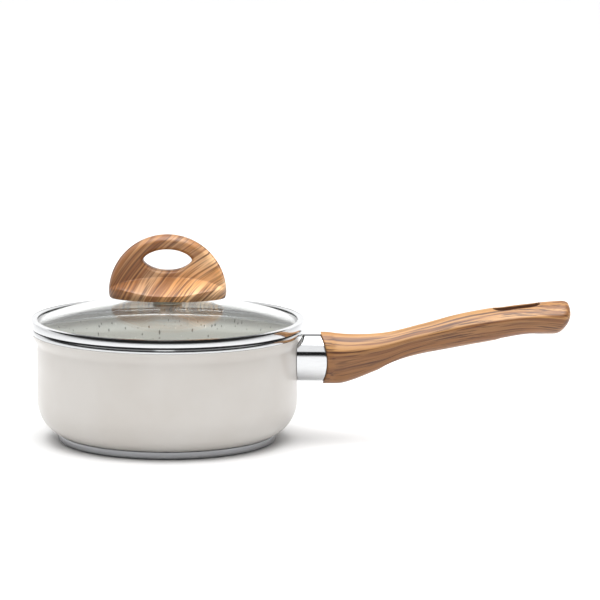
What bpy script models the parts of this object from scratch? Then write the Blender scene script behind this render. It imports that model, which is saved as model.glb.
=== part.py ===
"""Saucepan with a glass lid: a pressed aluminium pan, a phenolic handle and a phenolic knob.

Metres, +Z up. The origin is the centre of the pan's underside, and the handle points along +X.
Every radius is measured from the axis that the piece is turned about.
"""

import math

import bmesh
import bpy
import numpy as np

# Clearance between pieces that touch on the real pan.
FIT = 0.0003

# Faces round a large turned piece, a small one, and a moulded one.
LARGE_STEPS = 48
SMALL_STEPS = 20
MOULD_STEPS = 28

# Pan body
PAN_HEIGHT = 0.0695
WALL_RADIUS = 0.0798
WALL = 0.0026
FLOOR = 0.0035
CORNER_RADIUS = 0.022
INNER_CORNER_RADIUS = 0.018
LIP_FLARE = 0.0032
LIP_HEIGHT = 0.0030
LIP_WALL = 0.0029
FLARE_HEIGHT = 0.0078
MOUTH_STEP = 0.0054
INNER_FLARE_HEIGHT = 0.0050

# Base
BASE_SETBACK = 0.0130
BASE_HEIGHT = 0.0048
BASE_EDGE = 0.0012
CAP_WALL = 0.0006

# Lid
BAND_OVERHANG = 0.0010
BAND_STEEL = 0.0004
BAND_FLANGE = 0.0044
BAND_BEND = 0.0009
SKIRT_DEPTH = 0.0046
SKIRT_CLEARANCE = 0.0006
GLASS = 0.0035
DOME_RISE = 0.0125
DOME_MARGIN = 0.0006
LID_HOLE_CLEARANCE = 0.0015

# Steam vent in the glass
VENT_OFFSET = 0.0480
VENT_RADIUS = 0.0021
VENT_FLANGE = 0.0014
VENT_STEEL = 0.0005

# Knob
KNOB_HALF_WIDTH = 0.0360
KNOB_HALF_DEPTH = 0.0235
KNOB_HEIGHT = 0.0386
KNOB_EDGE_HEIGHT = 0.0035
KNOB_EDGE_TUCK = 0.0016
KNOB_WEB_HALF = 0.0066
KNOB_SCOOP_HEIGHT = 0.0129
KNOB_CREST_SPREAD = 2.2
KNOB_CREST_FALL = 0.6
KNOB_OUTLINE_HALF = 0.0006
FINGER_HOLE_WIDTH = 0.0300
FINGER_HOLE_HEIGHT = 0.0140
FINGER_HOLE_CENTRE = 0.0228

# Fixing of the knob: an M5 screw up through the glass into a brass insert
M5_RADIUS = 0.0025
SCREW_HEAD_RADIUS = 0.0046
SCREW_HEAD_HEIGHT = 0.0030
SCREW_SOCKET = 0.0016
GASKET = 0.0008
GASKET_RADIUS = 0.0090
WASHER = 0.0010
INSERT_RADIUS = 0.0044
INSERT_LENGTH = 0.0085
INSERT_ROOF = 0.0010
KNOB_SCREW_END_GAP = 0.0010

# Flame guard and the stud inside it. Lengths along X are measured from the pan's wall.
GUARD_DROP = 0.0186
GUARD_HALF_HEIGHT = 0.0145
GUARD_HALF_WIDTH = 0.0112
GUARD_STEEL = 0.0008
GUARD_LENGTH_TOP = 0.0141
GUARD_LENGTH_MIDDLE = 0.0180
GUARD_LENGTH_BOTTOM = 0.0155
BOSS_RADIUS = 0.0065
BOSS_LENGTH = 0.0122
BOSS_FLOOR = 0.0030

# Handle, as lines along X from the pan's wall: heights of its top and bottom from the flame
# guard's centre, and half its width. Its shoulder stands out from the guard all round.
SHOULDER = 0.0014
HANDLE_TOP = (
    (0.0152, GUARD_HALF_HEIGHT + SHOULDER),
    (0.0352, 0.0146),
    (0.0552, 0.0161),
    (0.0752, 0.0211),
    (0.1002, 0.0279),
    (0.1322, 0.0334),
    (0.1622, 0.0362),
)
HANDLE_BOTTOM = (
    (0.0152, -GUARD_HALF_HEIGHT - SHOULDER),
    (0.0282, -0.0153),
    (0.0482, -0.0077),
    (0.0682, 0.0010),
    (0.0922, 0.0063),
    (0.1202, 0.0118),
    (0.1392, 0.0155),
    (0.1622, 0.0161),
)
HANDLE_HALF_WIDTH = (
    (0.0152, GUARD_HALF_WIDTH + SHOULDER),
    (0.0352, 0.0112),
    (0.0602, 0.0100),
    (0.0902, 0.0112),
    (0.1252, 0.0146),
    (0.1622, 0.0152),
)
HANDLE_FIRST_RING = 0.0242
HANDLE_SHAPED_END = 0.1605
HANDLE_END_ROUND = 0.0055
HANDLE_END_LEAN = 0.00155
HANDLE_END_BOW = 0.00215
HANDLE_END_NARROWING = 0.45
HANDLE_END_THINNING = 0.25
HANDLE_RINGS = 17
HANDLE_SQUARENESS = 0.87
SLOT_START = 0.1192
SLOT_END = 0.1482
SLOT_WIDTH = 0.0160

# Screw that clamps the handle and the flame guard to the stud. It lies along X.
SCREW_DROP = 0.0024
HEAD_SEAT = 0.0362
HEAD_CLEARANCE = 0.0006
LOCK_WASHER = 0.0012
LOCK_WASHER_RADIUS = 0.0042
LOCK_WASHER_SPLIT = 14.0

# What follows from the sizes above
BASE_RADIUS = WALL_RADIUS - BASE_SETBACK
FLARE_TOP = PAN_HEIGHT - LIP_HEIGHT
FLOOR_TOP = BASE_HEIGHT + FLOOR
LIP_RADIUS = WALL_RADIUS + LIP_FLARE
INNER_RADIUS = WALL_RADIUS - WALL
MOUTH_RADIUS = LIP_RADIUS - LIP_WALL
BAND_RADIUS = LIP_RADIUS + BAND_OVERHANG
BAND_BOTTOM = PAN_HEIGHT + FIT
GLASS_EDGE_BOTTOM = BAND_BOTTOM + BAND_STEEL + FIT
GLASS_EDGE_TOP = GLASS_EDGE_BOTTOM + GLASS
BAND_TOP = GLASS_EDGE_TOP + FIT + BAND_STEEL
GLASS_RADIUS = BAND_RADIUS - BAND_STEEL - FIT
SKIRT_RADIUS = MOUTH_RADIUS - SKIRT_CLEARANCE
DOME_RADIUS = BAND_RADIUS - BAND_FLANGE - DOME_MARGIN
DOME_SPHERE = (DOME_RADIUS**2 + DOME_RISE**2) / (2 * DOME_RISE)
GLASS_TOP = GLASS_EDGE_TOP + DOME_RISE
LID_HOLE_RADIUS = M5_RADIUS + LID_HOLE_CLEARANCE
KNOB_BOTTOM = GLASS_TOP + FIT + GASKET + FIT
CLEAR_HOLE_RADIUS = M5_RADIUS + FIT
GUARD_CENTRE = PAN_HEIGHT - GUARD_DROP
SCREW_HEIGHT = GUARD_CENTRE - SCREW_DROP
BOSS_END = WALL_RADIUS + BOSS_LENGTH


def clear_scene():
    for thing in list(bpy.data.objects):
        bpy.data.objects.remove(thing, do_unlink=True)


def material(name, colour, roughness, metallic=0.0, transmission=0.0):
    made = bpy.data.materials.get(name)
    if made:
        return made
    made = bpy.data.materials.new(name)
    made.use_nodes = True
    shader = made.node_tree.nodes["Principled BSDF"]
    shader.inputs["Base Color"].default_value = (*colour, 1.0)
    shader.inputs["Roughness"].default_value = roughness
    shader.inputs["Metallic"].default_value = metallic
    shader.inputs["Transmission Weight"].default_value = transmission
    return made


def cream_paint():
    return material("cream_paint", (0.66, 0.62, 0.58), 0.35)


def bare_steel():
    return material("bare_steel", (0.62, 0.62, 0.62), 0.25, metallic=1.0)


def bare_aluminium():
    return material("bare_aluminium", (0.75, 0.75, 0.76), 0.35, metallic=1.0)


def yellow_brass():
    return material("yellow_brass", (0.75, 0.55, 0.25), 0.35, metallic=1.0)


def wood_effect():
    return material("wood_effect", (0.55, 0.30, 0.14), 0.4)


def tempered_glass():
    return material("tempered_glass", (0.85, 0.93, 0.90), 0.03, transmission=1.0)


def white_silicone():
    return material("white_silicone", (0.80, 0.80, 0.78), 0.6)


def new_object(name, mesh, finish):
    made = bpy.data.objects.new(name, mesh)
    made.data.materials.append(finish)
    bpy.context.scene.collection.objects.link(made)
    return made


def arc(centre_r, centre_z, radius, start, end, steps):
    """Points on a circle in the (radius, height) plane, from one angle to another in degrees."""
    angles = np.radians(np.linspace(start, end, steps + 1))
    return [
        (centre_r + radius * math.cos(angle), centre_z + radius * math.sin(angle))
        for angle in angles
    ]


def turned(name, profile, finish, steps, closed=False):
    """A solid of revolution about Z. The profile runs down its outer side, top to bottom.

    A closed profile makes a ring, and an open one starts and ends on the axis.
    """
    shape = bmesh.new()
    points = [shape.verts.new((radius, 0.0, height)) for radius, height in profile]
    for first, second in zip(points, points[1:]):
        shape.edges.new((first, second))
    if closed:
        shape.edges.new((points[-1], points[0]))
    mesh = bpy.data.meshes.new(name)
    shape.to_mesh(mesh)
    shape.free()
    made = new_object(name, mesh, finish)
    screw = made.modifiers.new("turn", "SCREW")
    screw.axis = "Z"
    screw.angle = math.tau
    screw.steps = steps
    screw.render_steps = steps
    screw.use_merge_vertices = True
    screw.merge_threshold = 0.00001
    screw.use_normal_calculate = False
    screw.use_smooth_shade = True
    return made


def lofted(name, rings, finish, first_centre=None, last_centre=None):
    """A skin over rings of equal length. Both ends meet at a centre point, or the two ends join."""
    shape = bmesh.new()
    loops = [[shape.verts.new(point) for point in ring] for ring in rings]
    count = len(loops[0])
    pairs = list(zip(loops, loops[1:]))
    if first_centre is None:
        pairs.append((loops[-1], loops[0]))
    for near, far in pairs:
        for i in range(count):
            j = (i + 1) % count
            shape.faces.new((near[i], near[j], far[j], far[i]))
    for centre, loop in ((first_centre, loops[0]), (last_centre, loops[-1])):
        if centre is None:
            continue
        tip = shape.verts.new(centre)
        for i in range(count):
            shape.faces.new((tip, loop[(i + 1) % count], loop[i]))
    bmesh.ops.recalc_face_normals(shape, faces=shape.faces)
    mesh = bpy.data.meshes.new(name)
    shape.to_mesh(mesh)
    shape.free()
    mesh.shade_smooth()
    mesh.set_sharp_from_angle(angle=math.radians(35))
    return new_object(name, mesh, finish)


def cut(target, cutter):
    cutter.hide_render = True
    cutter.display_type = "WIRE"
    bore = target.modifiers.new(cutter.name, "BOOLEAN")
    bore.operation = "DIFFERENCE"
    bore.solver = "EXACT"
    bore.object = cutter


def rod_profile(radius, bottom, top):
    return [(0.0, top), (radius, top), (radius, bottom), (0.0, bottom)]


def ring_profile(inner, outer, bottom, top):
    return [(inner, top), (outer, top), (outer, bottom), (inner, bottom)]


def screw_profile(shank_radius, shank_end, head_height):
    """A pan-head screw pointing up from its seat at zero height, with a round socket in its head."""
    socket_depth = head_height * 0.6
    return [
        (0.0, shank_end),
        (shank_radius, shank_end),
        (shank_radius, 0.0),
        (SCREW_HEAD_RADIUS, 0.0),
        (SCREW_HEAD_RADIUS, -head_height * 0.6),
        (SCREW_HEAD_RADIUS * 0.75, -head_height),
        (SCREW_SOCKET, -head_height),
        (SCREW_SOCKET, -head_height + socket_depth),
        (0.0, -head_height + socket_depth),
    ]


def flare_blend(share):
    """The soft S of the flare: one at its top, nothing at its foot."""
    return 0.5 + 0.5 * math.cos(math.pi * share)


def flare_points(wall, lip, top, height, steps):
    """Profile points of a flare, from the lip's radius at its top down to the straight wall."""
    return [
        (wall + (lip - wall) * flare_blend(share), top - height * share)
        for share in np.linspace(0.0, 1.0, steps + 1)
    ]


def outer_radius_at(height):
    """The pan's outer radius at a height on its straight wall or its flare."""
    share = min(max((FLARE_TOP - height) / FLARE_HEIGHT, 0.0), 1.0)
    return WALL_RADIUS + LIP_FLARE * flare_blend(share)


def make_pan_body():
    outer_centre = WALL_RADIUS - CORNER_RADIUS
    across = BASE_RADIUS - outer_centre
    corner_height = BASE_HEIGHT + math.sqrt(CORNER_RADIUS**2 - across**2)
    last_angle = -math.degrees(math.acos(across / CORNER_RADIUS))
    inner_centre = INNER_RADIUS - INNER_CORNER_RADIUS
    inner_height = FLOOR_TOP + INNER_CORNER_RADIUS
    mouth = PAN_HEIGHT - MOUTH_STEP
    profile = (
        [(0.0, FLOOR_TOP)]
        + arc(inner_centre, inner_height, INNER_CORNER_RADIUS, -90.0, 0.0, 5)
        + flare_points(INNER_RADIUS, MOUTH_RADIUS, mouth, INNER_FLARE_HEIGHT, 4)[::-1]
        + [(MOUTH_RADIUS, PAN_HEIGHT), (LIP_RADIUS, PAN_HEIGHT)]
        + flare_points(WALL_RADIUS, LIP_RADIUS, FLARE_TOP, FLARE_HEIGHT, 5)
        + arc(outer_centre, corner_height, CORNER_RADIUS, 0.0, last_angle, 6)
        + [(0.0, BASE_HEIGHT)]
    )
    return turned("pan_body", profile, cream_paint(), LARGE_STEPS)


def make_base_core():
    profile = rod_profile(
        BASE_RADIUS - CAP_WALL - FIT, CAP_WALL + FIT, BASE_HEIGHT - FIT
    )
    return turned("base_core", profile, bare_aluminium(), LARGE_STEPS)


def make_base_cap():
    rim = BASE_HEIGHT - FIT
    profile = [
        (0.0, CAP_WALL),
        (BASE_RADIUS - CAP_WALL, CAP_WALL),
        (BASE_RADIUS - CAP_WALL, rim),
        (BASE_RADIUS, rim),
        (BASE_RADIUS, BASE_EDGE),
        (BASE_RADIUS - BASE_EDGE, 0.0),
        (0.0, 0.0),
    ]
    return turned("base_cap", profile, bare_steel(), LARGE_STEPS)


def make_lid_rim():
    skirt_bottom = BAND_BOTTOM - SKIRT_DEPTH
    lip = BAND_RADIUS - BAND_FLANGE
    inner = BAND_RADIUS - BAND_STEEL
    top = arc(BAND_RADIUS - BAND_BEND, BAND_TOP - BAND_BEND, BAND_BEND, 90.0, 0.0, 2)
    profile = (
        [(lip, BAND_TOP)]
        + top
        + [
            (BAND_RADIUS, BAND_BOTTOM),
            (SKIRT_RADIUS, BAND_BOTTOM),
            (SKIRT_RADIUS, skirt_bottom),
            (SKIRT_RADIUS - BAND_STEEL, skirt_bottom),
            (SKIRT_RADIUS - BAND_STEEL, BAND_BOTTOM + BAND_STEEL),
            (inner, BAND_BOTTOM + BAND_STEEL),
            (inner, BAND_TOP - BAND_STEEL),
            (lip, BAND_TOP - BAND_STEEL),
        ]
    )
    return turned("lid_rim", profile, bare_steel(), LARGE_STEPS, closed=True)


def dome_height(radius):
    """Height of the glass's upper face, which is part of a sphere inside its flat edge."""
    inside = min(radius, DOME_RADIUS)
    sphere_centre = GLASS_TOP - DOME_SPHERE
    return sphere_centre + math.sqrt(DOME_SPHERE**2 - inside**2)


def dome_tilt(radius):
    return math.asin(radius / DOME_SPHERE)


def make_lid_glass():
    radii = np.linspace(LID_HOLE_RADIUS, DOME_RADIUS, 8)
    upper = [(radius, dome_height(radius)) for radius in radii]
    lower = [(radius, height - GLASS) for radius, height in upper]
    edge = [
        (GLASS_RADIUS, GLASS_EDGE_TOP),
        (GLASS_RADIUS, GLASS_EDGE_BOTTOM),
    ]
    profile = upper + edge + lower[::-1]
    glass = turned("lid_glass", profile, tempered_glass(), LARGE_STEPS, closed=True)
    hole = turned(
        "vent_hole",
        rod_profile(VENT_RADIUS + FIT, -2 * GLASS, 2 * GLASS),
        tempered_glass(),
        SMALL_STEPS,
    )
    set_on_dome(hole)
    cut(glass, hole)
    return glass


def set_on_dome(piece):
    """Stands a piece on the dome at the vent, square to the glass."""
    piece.location = (0.0, VENT_OFFSET, dome_height(VENT_OFFSET))
    piece.rotation_euler = (-dome_tilt(VENT_OFFSET), 0.0, 0.0)


def make_vent_eyelet():
    """A rolled eyelet: a tube with a flange above the glass and one below it."""
    outer = VENT_RADIUS + VENT_FLANGE
    inner = VENT_RADIUS - VENT_STEEL
    above = FIT
    below = -GLASS * math.cos(dome_tilt(VENT_OFFSET)) - FIT
    profile = [
        (inner, above + VENT_STEEL),
        (outer, above + VENT_STEEL),
        (outer, above),
        (VENT_RADIUS, above),
        (VENT_RADIUS, below),
        (outer, below),
        (outer, below - VENT_STEEL),
        (inner, below - VENT_STEEL),
    ]
    eyelet = turned("vent_eyelet", profile, bare_steel(), SMALL_STEPS, closed=True)
    set_on_dome(eyelet)
    return eyelet


def knob_half_depth(x, height):
    """Half the knob's thickness at a point of its front view, measured from its foot.

    An oval dome gives the outside. A scoop on each side leaves a web, which flares to the foot
    below a crest that falls towards both ends.
    """
    across = min(abs(x) / KNOB_HALF_WIDTH, 1.0)
    up = height / KNOB_HEIGHT
    dome = KNOB_HALF_DEPTH * math.sqrt(max(1.0 - across**2 - up**2, 0.0))
    flare = KNOB_SCOOP_HEIGHT - KNOB_EDGE_HEIGHT
    flare *= (1.0 - across**KNOB_CREST_SPREAD) ** KNOB_CREST_FALL
    crest = KNOB_EDGE_HEIGHT + flare
    below = min(max((crest - height) / max(flare, FIT), 0.0), 1.0)
    scoop = KNOB_WEB_HALF + (KNOB_HALF_DEPTH - KNOB_WEB_HALF) * below
    return max(min(dome, scoop), KNOB_OUTLINE_HALF)


def knob_outline(angle):
    """Front-view edge of the knob, seen from the finger hole: an arch that stands on a flat foot."""
    arch_centre = KNOB_HEIGHT - KNOB_HALF_WIDTH
    offset = FINGER_HOLE_CENTRE - arch_centre
    dx, dz = math.cos(angle), math.sin(angle)
    reach = -offset * dz + math.sqrt(KNOB_HALF_WIDTH**2 - (offset * dx) ** 2)
    if FINGER_HOLE_CENTRE + reach * dz < 0.0:
        reach = -FINGER_HOLE_CENTRE / dz
    return reach * dx, max(FINGER_HOLE_CENTRE + reach * dz, 0.0)


def finger_hole(angle):
    """The edge of the finger hole: an eye with softly pointed corners."""
    lift = math.copysign(abs(math.sin(angle)) ** 1.25, math.sin(angle))
    x = FINGER_HOLE_WIDTH / 2 * math.cos(angle)
    return x, FINGER_HOLE_CENTRE + FINGER_HOLE_HEIGHT / 2 * lift


def knob_angles():
    """Directions from the finger hole, with one through each corner of the foot."""
    arch_centre = KNOB_HEIGHT - KNOB_HALF_WIDTH
    half_foot = math.sqrt(KNOB_HALF_WIDTH**2 - arch_centre**2)
    corner = -math.atan2(FINGER_HOLE_CENTRE, half_foot)
    over = np.linspace(corner, math.pi - corner, 26, endpoint=False)
    under = np.linspace(math.pi - corner, math.tau + corner, 12, endpoint=False)
    return np.concatenate([over, under])


def knob_point(x, height, side):
    """A point of the knob's skin in place. The foot's edge is tucked in below its widest line."""
    tuck = max(1.0 - height / KNOB_EDGE_HEIGHT, 0.0) * KNOB_EDGE_TUCK / KNOB_HALF_WIDTH
    depth = knob_half_depth(x, height)
    return x * (1.0 - tuck), side * depth * (1.0 - tuck), KNOB_BOTTOM + height


def make_knob():
    shares = np.sin(np.linspace(0.0, math.pi / 2, 10))
    front = [(share, -1.0) for share in shares]
    back = [(share, 1.0) for share in shares[::-1]]
    rings = []
    for share, side in front + back:
        ring = []
        for angle in knob_angles():
            hole_x, hole_z = finger_hole(angle)
            edge_x, edge_z = knob_outline(angle)
            x = hole_x + (edge_x - hole_x) * share
            z = hole_z + (edge_z - hole_z) * share
            ring.append(knob_point(x, z, side))
        rings.append(ring)
    knob = lofted("knob", rings, wood_effect())
    recess = turned(
        "insert_recess",
        rod_profile(INSERT_RADIUS + FIT, -INSERT_LENGTH, INSERT_LENGTH + 2 * FIT),
        wood_effect(),
        SMALL_STEPS,
    )
    recess.location.z = KNOB_BOTTOM
    cut(knob, recess)
    return knob


def make_knob_insert():
    """A brass bush in the knob's foot, with a blind screw hole from below."""
    hole_top = INSERT_LENGTH - INSERT_ROOF
    profile = [
        (0.0, INSERT_LENGTH),
        (INSERT_RADIUS, INSERT_LENGTH),
        (INSERT_RADIUS, 0.0),
        (CLEAR_HOLE_RADIUS, 0.0),
        (CLEAR_HOLE_RADIUS, hole_top),
        (0.0, hole_top),
    ]
    insert = turned("knob_insert", profile, yellow_brass(), SMALL_STEPS)
    insert.location.z = KNOB_BOTTOM + FIT
    return insert


def under_glass():
    """Height of the seat under the glass, at the rim of the lower gasket."""
    return dome_height(GASKET_RADIUS) - GLASS - FIT


def make_knob_seat():
    """The gaskets above and below the glass, the washer under them and the screw through all."""
    gasket = ring_profile(CLEAR_HOLE_RADIUS, GASKET_RADIUS, 0.0, GASKET)
    washer = ring_profile(CLEAR_HOLE_RADIUS, GASKET_RADIUS, 0.0, WASHER)
    upper = turned("knob_gasket_upper", gasket, white_silicone(), SMALL_STEPS, closed=True)
    upper.location.z = GLASS_TOP + FIT
    lower = turned("knob_gasket_lower", gasket, white_silicone(), SMALL_STEPS, closed=True)
    lower.location.z = under_glass() - GASKET
    plate = turned("knob_washer", washer, bare_steel(), SMALL_STEPS, closed=True)
    plate.location.z = lower.location.z - FIT - WASHER
    seat = plate.location.z - FIT
    insert_roof = KNOB_BOTTOM + INSERT_LENGTH - INSERT_ROOF
    shank_end = insert_roof - KNOB_SCREW_END_GAP - seat
    profile = screw_profile(M5_RADIUS, shank_end, SCREW_HEAD_HEIGHT)
    screw = turned("knob_screw", profile, bare_steel(), SMALL_STEPS)
    screw.location.z = seat


def oval(half_width, half_height, centre_height, squareness, steps):
    """Points (y, z) round an upright oval. A squareness under one fills its corners out."""
    points = []
    for i in range(steps):
        angle = math.tau * i / steps
        y = math.copysign(abs(math.cos(angle)) ** squareness, math.cos(angle))
        z = math.copysign(abs(math.sin(angle)) ** squareness, math.sin(angle))
        points.append((half_width * y, centre_height + half_height * z))
    return points


def guard_end(height):
    """Where the flame guard ends along X: a curve through its top, middle and bottom."""
    up = (height - GUARD_CENTRE) / GUARD_HALF_HEIGHT
    lean = (GUARD_LENGTH_TOP - GUARD_LENGTH_BOTTOM) / 2
    sink = GUARD_LENGTH_MIDDLE - (GUARD_LENGTH_TOP + GUARD_LENGTH_BOTTOM) / 2
    return WALL_RADIUS + GUARD_LENGTH_MIDDLE + lean * up - sink * up**2


def guard_oval(inset):
    return oval(
        GUARD_HALF_WIDTH - inset,
        GUARD_HALF_HEIGHT - inset,
        GUARD_CENTRE,
        HANDLE_SQUARENESS,
        MOULD_STEPS,
    )


def wall_side(y, z):
    """A point on the pan's outside, clear of it by the fit."""
    return math.sqrt((outer_radius_at(z) + FIT) ** 2 - y**2), y, z


def make_flame_guard():
    """A thin oval sleeve from the pan's wall to the handle's shoulder."""
    outside = guard_oval(0.0)
    inside = guard_oval(GUARD_STEEL)
    rings = [
        [wall_side(y, z) for y, z in outside],
        [(guard_end(z), y, z) for y, z in outside],
        [(guard_end(z), y, z) for y, z in inside],
        [wall_side(y, z) for y, z in inside],
    ]
    return lofted("flame_guard", rings, bare_steel())


def make_handle_boss():
    """A tapped stud welded to the wall, with a blind hole for the handle's screw."""
    outside = oval(BOSS_RADIUS, BOSS_RADIUS, SCREW_HEIGHT, 1.0, SMALL_STEPS)
    bore = oval(CLEAR_HOLE_RADIUS, CLEAR_HOLE_RADIUS, SCREW_HEIGHT, 1.0, SMALL_STEPS)
    wall = WALL_RADIUS + FIT
    floor = wall + BOSS_FLOOR
    rings = [
        [(floor, y, z) for y, z in bore],
        [(BOSS_END, y, z) for y, z in bore],
        [(BOSS_END, y, z) for y, z in outside],
        [wall_side(y, z) for y, z in outside],
    ]
    return lofted(
        "handle_boss",
        rings,
        bare_aluminium(),
        first_centre=(floor, 0.0, SCREW_HEIGHT),
        last_centre=(wall, 0.0, SCREW_HEIGHT),
    )


def smooth_value(line, x):
    """The height of a smooth line through (x, height) points: a cubic between each pair."""
    places = [point[0] for point in line]
    last = len(line) - 2
    i = min(max(int(np.searchsorted(places, x)) - 1, 0), last)
    slopes = []
    for j in (i, i + 1):
        before, after = line[max(j - 1, 0)], line[min(j + 1, last + 1)]
        slopes.append((after[1] - before[1]) / (after[0] - before[0]))
    (x0, z0), (x1, z1) = line[i], line[i + 1]
    span = x1 - x0
    t = (x - x0) / span
    rise = z0 * (2 * t**3 - 3 * t**2 + 1) + z1 * (3 * t**2 - 2 * t**3)
    bend = slopes[0] * (t**3 - 2 * t**2 + t) + slopes[1] * (t**3 - t**2)
    return rise + span * bend


def handle_oval(along, width_share=1.0, height_share=1.0):
    top = smooth_value(HANDLE_TOP, along)
    bottom = smooth_value(HANDLE_BOTTOM, along)
    return oval(
        smooth_value(HANDLE_HALF_WIDTH, along) * width_share,
        (top - bottom) / 2 * height_share,
        GUARD_CENTRE + (top + bottom) / 2,
        HANDLE_SQUARENESS,
        MOULD_STEPS,
    )


def end_leaned(along, points):
    """A ring of the handle. Towards the hanging end the rings bow out, most above their middle."""
    heights = [z for _, z in points]
    middle = (max(heights) + min(heights)) / 2
    half = (max(heights) - min(heights)) / 2
    share = min(max((along - SLOT_END) / (HANDLE_SHAPED_END - SLOT_END), 0.0), 1.0)
    ring = []
    for y, z in points:
        up = (z - middle) / half
        bow = HANDLE_END_LEAN * up - HANDLE_END_BOW * up**2
        ring.append((WALL_RADIUS + along + share * bow, y, z))
    return ring


def handle_rings():
    spigot = guard_oval(GUARD_STEEL + FIT)
    shoulder = guard_oval(-SHOULDER)
    start = BOSS_END + FIT
    rings = [
        [(start, y, z) for y, z in spigot],
        [(guard_end(z) + FIT, y, z) for y, z in spigot],
        [(guard_end(z) + FIT, y, z) for y, z in shoulder],
    ]
    for along in np.linspace(HANDLE_FIRST_RING, HANDLE_SHAPED_END, HANDLE_RINGS):
        rings.append(end_leaned(along, handle_oval(along)))
    for turn in (30.0, 60.0, 90.0):
        along = HANDLE_SHAPED_END + HANDLE_END_ROUND * math.sin(math.radians(turn))
        fall = 1.0 - math.cos(math.radians(turn))
        width_share = 1.0 - HANDLE_END_NARROWING * fall
        height_share = 1.0 - HANDLE_END_THINNING * fall
        rings.append(end_leaned(along, handle_oval(along, width_share, height_share)))
    return rings


def handle_bore():
    """A stepped cutter along X: the screw's way to the boss, then a wider way for its head."""
    head_bore = SCREW_HEAD_RADIUS + HEAD_CLEARANCE
    seat = WALL_RADIUS + HEAD_SEAT
    far_end = WALL_RADIUS + SLOT_START
    profile = [
        (0.0, far_end),
        (head_bore, far_end),
        (head_bore, seat),
        (CLEAR_HOLE_RADIUS, seat),
        (CLEAR_HOLE_RADIUS, WALL_RADIUS),
        (0.0, WALL_RADIUS),
    ]
    bore = turned("handle_bore", profile, wood_effect(), SMALL_STEPS)
    bore.rotation_mode = "ZYX"
    bore.rotation_euler = (0.0, math.pi / 2, math.pi / SMALL_STEPS / 2)
    bore.location.z = SCREW_HEIGHT
    return bore


def hanging_slot():
    """A vertical cutter with round ends, through the handle's outer end."""
    shape = bmesh.new()
    radius = SLOT_WIDTH / 2
    outline = []
    for centre, first in ((SLOT_END - radius, -90.0), (SLOT_START + radius, 90.0)):
        outline += arc(WALL_RADIUS + centre, 0.0, radius, first, first + 180.0, 9)
    low = GUARD_CENTRE
    high = GUARD_CENTRE + 2 * max(z for _, z in HANDLE_TOP)
    face = shape.faces.new([shape.verts.new((x, y, low)) for x, y in outline])
    raised = bmesh.ops.extrude_face_region(shape, geom=[face])["geom"]
    moved = [item for item in raised if isinstance(item, bmesh.types.BMVert)]
    bmesh.ops.translate(shape, verts=moved, vec=(0.0, 0.0, high - low))
    bmesh.ops.recalc_face_normals(shape, faces=shape.faces)
    mesh = bpy.data.meshes.new("hanging_slot")
    shape.to_mesh(mesh)
    shape.free()
    return new_object("hanging_slot", mesh, wood_effect())


def make_handle():
    rings = handle_rings()
    start = BOSS_END + FIT
    end = tuple(np.mean(rings[-1], axis=0))
    handle = lofted(
        "handle",
        rings,
        wood_effect(),
        first_centre=(start, 0.0, GUARD_CENTRE),
        last_centre=end,
    )
    cut(handle, handle_bore())
    cut(handle, hanging_slot())
    return handle


def make_handle_screw():
    seat = WALL_RADIUS + HEAD_SEAT + FIT + LOCK_WASHER + FIT
    tip = WALL_RADIUS + FIT + BOSS_FLOOR + FIT
    profile = screw_profile(M5_RADIUS, seat - tip, SCREW_HEAD_HEIGHT)
    screw = turned("handle_screw", profile, bare_steel(), SMALL_STEPS)
    screw.rotation_euler = (0.0, -math.pi / 2, 0.0)
    screw.location = (seat, 0.0, SCREW_HEIGHT)
    return screw


def make_lock_washer():
    """A split spring washer round the screw, under its head."""
    inner = CLEAR_HOLE_RADIUS
    x = WALL_RADIUS + HEAD_SEAT + FIT
    middle = (inner + LOCK_WASHER_RADIUS) / 2
    sections = []
    centres = []
    for turn in np.radians(np.linspace(LOCK_WASHER_SPLIT, 360.0, SMALL_STEPS)):
        across, up = math.cos(turn), math.sin(turn)
        corners = ((inner, x), (LOCK_WASHER_RADIUS, x))
        corners += ((LOCK_WASHER_RADIUS, x + LOCK_WASHER), (inner, x + LOCK_WASHER))
        sections.append([(d, r * across, SCREW_HEIGHT + r * up) for r, d in corners])
        centres.append((x + LOCK_WASHER / 2, middle * across, SCREW_HEIGHT + middle * up))
    return lofted("lock_washer", sections, bare_steel(), centres[0], centres[-1])


def main():
    clear_scene()
    make_pan_body()
    make_base_core()
    make_base_cap()
    make_handle_boss()
    make_flame_guard()
    make_handle()
    make_handle_screw()
    make_lock_washer()
    make_lid_glass()
    make_lid_rim()
    make_vent_eyelet()
    make_knob()
    make_knob_insert()
    make_knob_seat()


main()
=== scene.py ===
# Saucepan with a glass lid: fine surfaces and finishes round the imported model.
# Metres, +Z up. The origin is the centre of the pan's underside, and the handle points along +X.
import math

import bpy
import numpy as np
from mathutils import Matrix, Vector


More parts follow.
